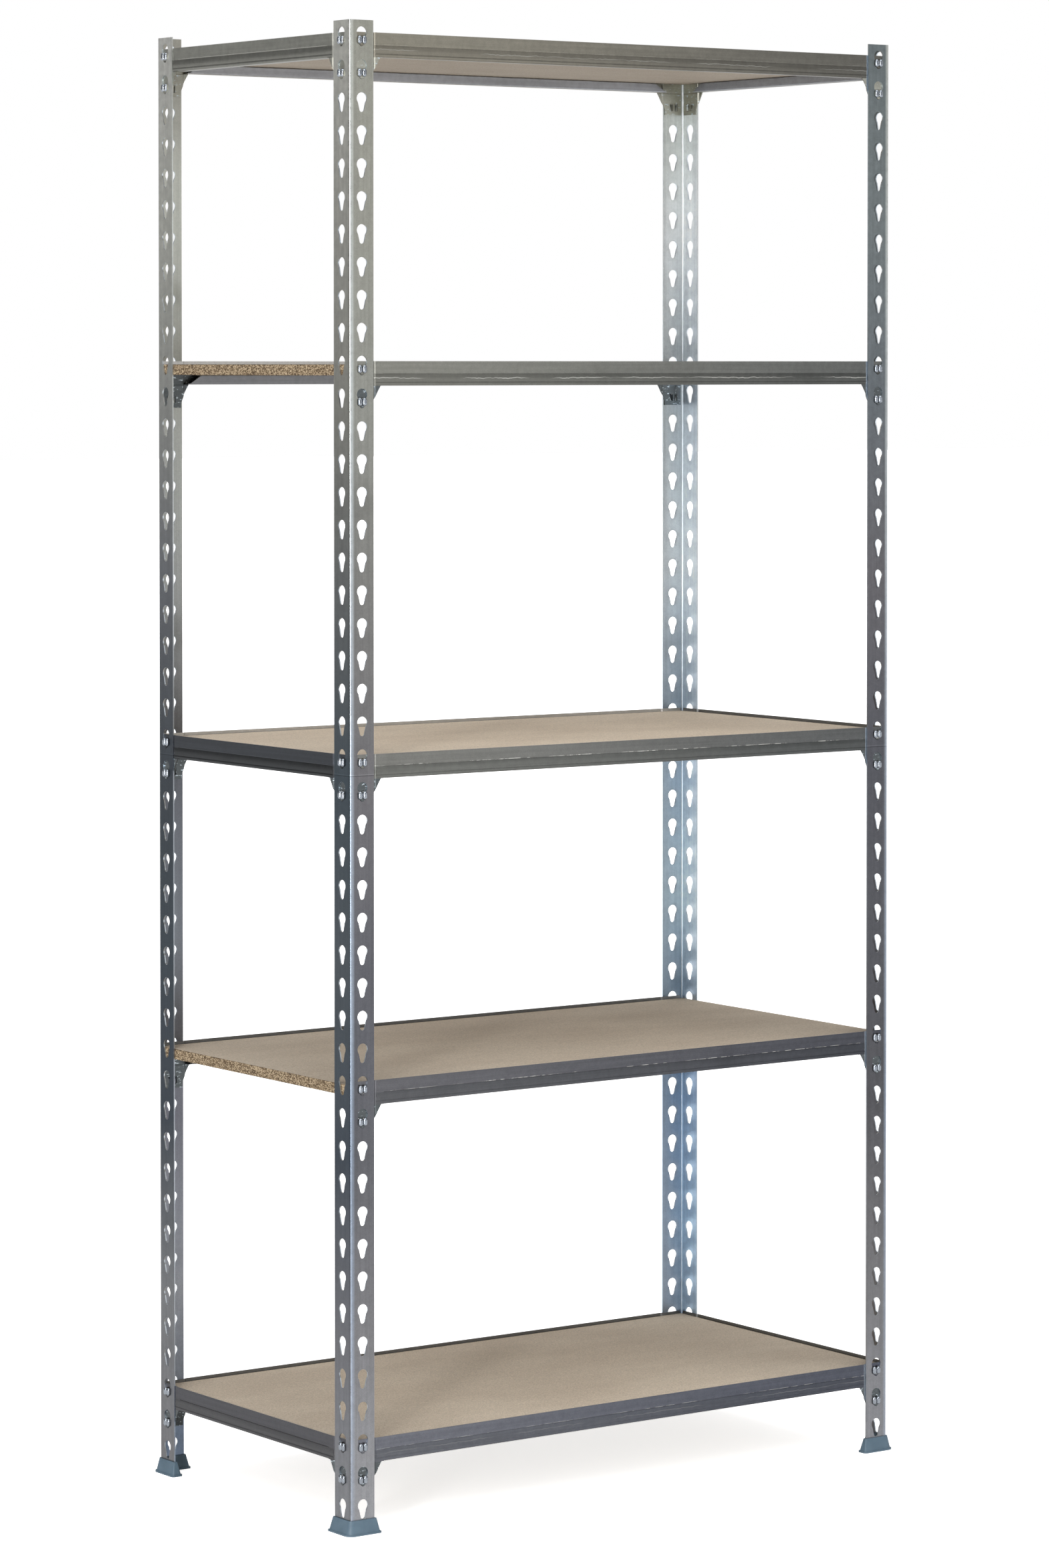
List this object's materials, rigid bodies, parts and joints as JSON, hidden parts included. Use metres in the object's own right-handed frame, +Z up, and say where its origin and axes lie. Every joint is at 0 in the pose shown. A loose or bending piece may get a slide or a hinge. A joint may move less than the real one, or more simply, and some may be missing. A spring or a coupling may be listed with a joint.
{
  "type": "boltless steel shelving",
  "caption": "Freestanding boltless shelving: keyhole-angle corner posts on plastic feet, hook-in steel beams and loose chipboard shelves.",
  "frame": {"origin": "on the floor, midway between the four feet", "axes": "+X to the right along the width, +Y to the back, +Z up"},
  "size_m": [0.865, 0.46, 1.851],
  "materials": {
    "post_steel_upper": "bare galvanised sheet, satin",
    "post_steel_lower": "bare galvanised sheet, satin, a little darker",
    "beam_steel": "bare galvanised sheet, satin, handled",
    "chipboard": "raw sanded chipboard",
    "foot_plastic": "moulded, fine matt"
  },
  "bodies": {
    "frame": {"foot_front_left": "foot_plastic", "upright_lower_front_left": "post_steel_lower", "upright_upper_front_left": "post_steel_upper", "foot_front_right": "foot_plastic", "upright_lower_front_right": "post_steel_lower", "upright_upper_front_right": "post_steel_upper", "foot_back_right": "foot_plastic", "upright_lower_back_right": "post_steel_lower", "upright_upper_back_right": "post_steel_upper", "foot_back_left": "foot_plastic", "upright_lower_back_left": "post_steel_lower", "upright_upper_back_left": "post_steel_upper"},
    "level_1_beams": {"level_1_beam_front": "beam_steel", "level_1_beam_back": "beam_steel", "level_1_beam_left": "beam_steel", "level_1_beam_right": "beam_steel"},
    "level_1_shelf": {"level_1_board": "chipboard"},
    "level_2_beams": {"level_2_beam_front": "beam_steel", "level_2_beam_back": "beam_steel"},
    "level_2_shelf": {"level_2_board": "chipboard"},
    "level_3_beams": {"level_3_beam_front": "beam_steel", "level_3_beam_back": "beam_steel", "level_3_beam_left": "beam_steel", "level_3_beam_right": "beam_steel"},
    "level_3_shelf": {"level_3_board": "chipboard"},
    "level_4_beams": {"level_4_beam_front": "beam_steel", "level_4_beam_back": "beam_steel"},
    "level_4_shelf": {"level_4_board": "chipboard"},
    "level_5_beams": {"level_5_beam_front": "beam_steel", "level_5_beam_back": "beam_steel", "level_5_beam_left": "beam_steel", "level_5_beam_right": "beam_steel"},
    "level_5_shelf": {"level_5_board": "chipboard"}
  },
  "joints": [
    {"name": "level_1_unhook", "type": "slide", "parent": "frame", "child": "level_1_beams", "axis": [0, 0, 1], "range_m": [0, 0.00875]},
    {"name": "level_1_board_lift", "type": "slide", "parent": "level_1_beams", "child": "level_1_shelf", "axis": [0, 0, 1], "range_m": [0, 0.1]},
    {"name": "level_2_unhook", "type": "slide", "parent": "frame", "child": "level_2_beams", "axis": [0, 0, 1], "range_m": [0, 0.00875]},
    {"name": "level_2_board_lift", "type": "slide", "parent": "level_2_beams", "child": "level_2_shelf", "axis": [0, 0, 1], "range_m": [0, 0.335]},
    {"name": "level_3_unhook", "type": "slide", "parent": "frame", "child": "level_3_beams", "axis": [0, 0, 1], "range_m": [0, 0.00875]},
    {"name": "level_3_board_lift", "type": "slide", "parent": "level_3_beams", "child": "level_3_shelf", "axis": [0, 0, 1], "range_m": [0, 0.44]},
    {"name": "level_4_unhook", "type": "slide", "parent": "frame", "child": "level_4_beams", "axis": [0, 0, 1], "range_m": [0, 0.00875]},
    {"name": "level_4_board_lift", "type": "slide", "parent": "level_4_beams", "child": "level_4_shelf", "axis": [0, 0, 1], "range_m": [0, 0.335]},
    {"name": "level_5_unhook", "type": "slide", "parent": "frame", "child": "level_5_beams", "axis": [0, 0, 1], "range_m": [0, 0.00875]},
    {"name": "level_5_board_lift", "type": "slide", "parent": "level_5_beams", "child": "level_5_shelf", "axis": [0, 0, 1], "range_m": [0, 0.4]}
  ]
}
